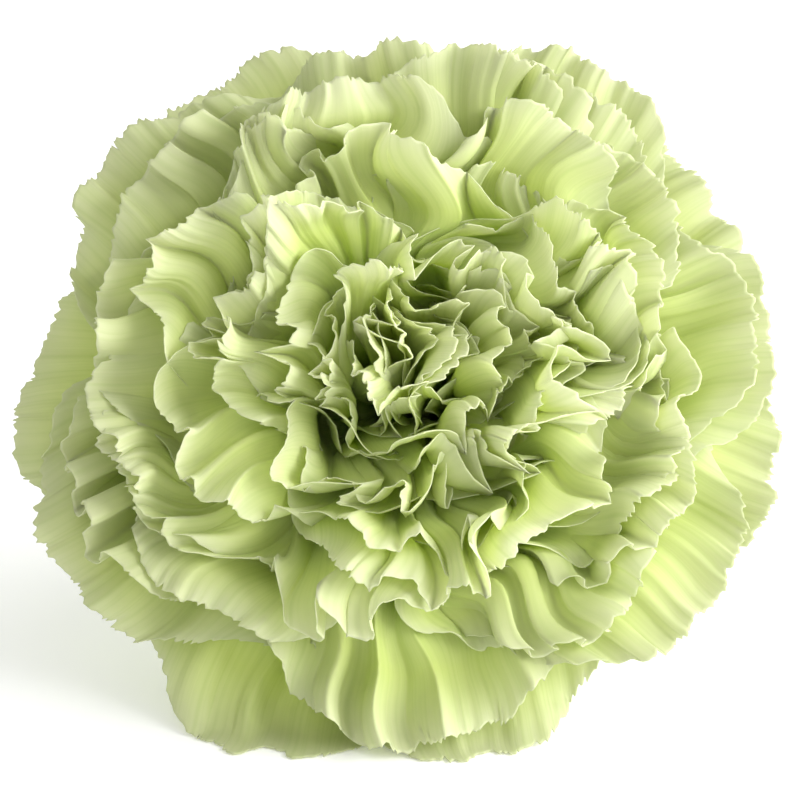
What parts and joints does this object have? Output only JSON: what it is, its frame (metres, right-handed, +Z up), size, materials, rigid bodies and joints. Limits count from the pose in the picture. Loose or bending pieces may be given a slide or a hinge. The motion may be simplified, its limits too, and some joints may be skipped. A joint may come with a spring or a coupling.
{
  "type": "cut carnation",
  "caption": "Double carnation bloom with ruffled petals in a toothed calyx, on a short cut stem with a leaf pair, lying down.",
  "frame": {"origin": "on the surface that the flower lies on, under the middle of its bounding box", "axes": "+Z up from that surface, +Y along the stem towards its cut end; the bloom faces -Y and up"},
  "size_m": [0.0754, 0.1371, 0.0599],
  "materials": {
    "petal": "matte",
    "calyx": "satin",
    "bract": "satin",
    "stem": "satin"
  },
  "bodies": {
    "root": {"bloom": "petal", "calyx": "calyx", "epicalyx": "bract", "leafy_stem": "stem"}
  },
  "joints": []
}
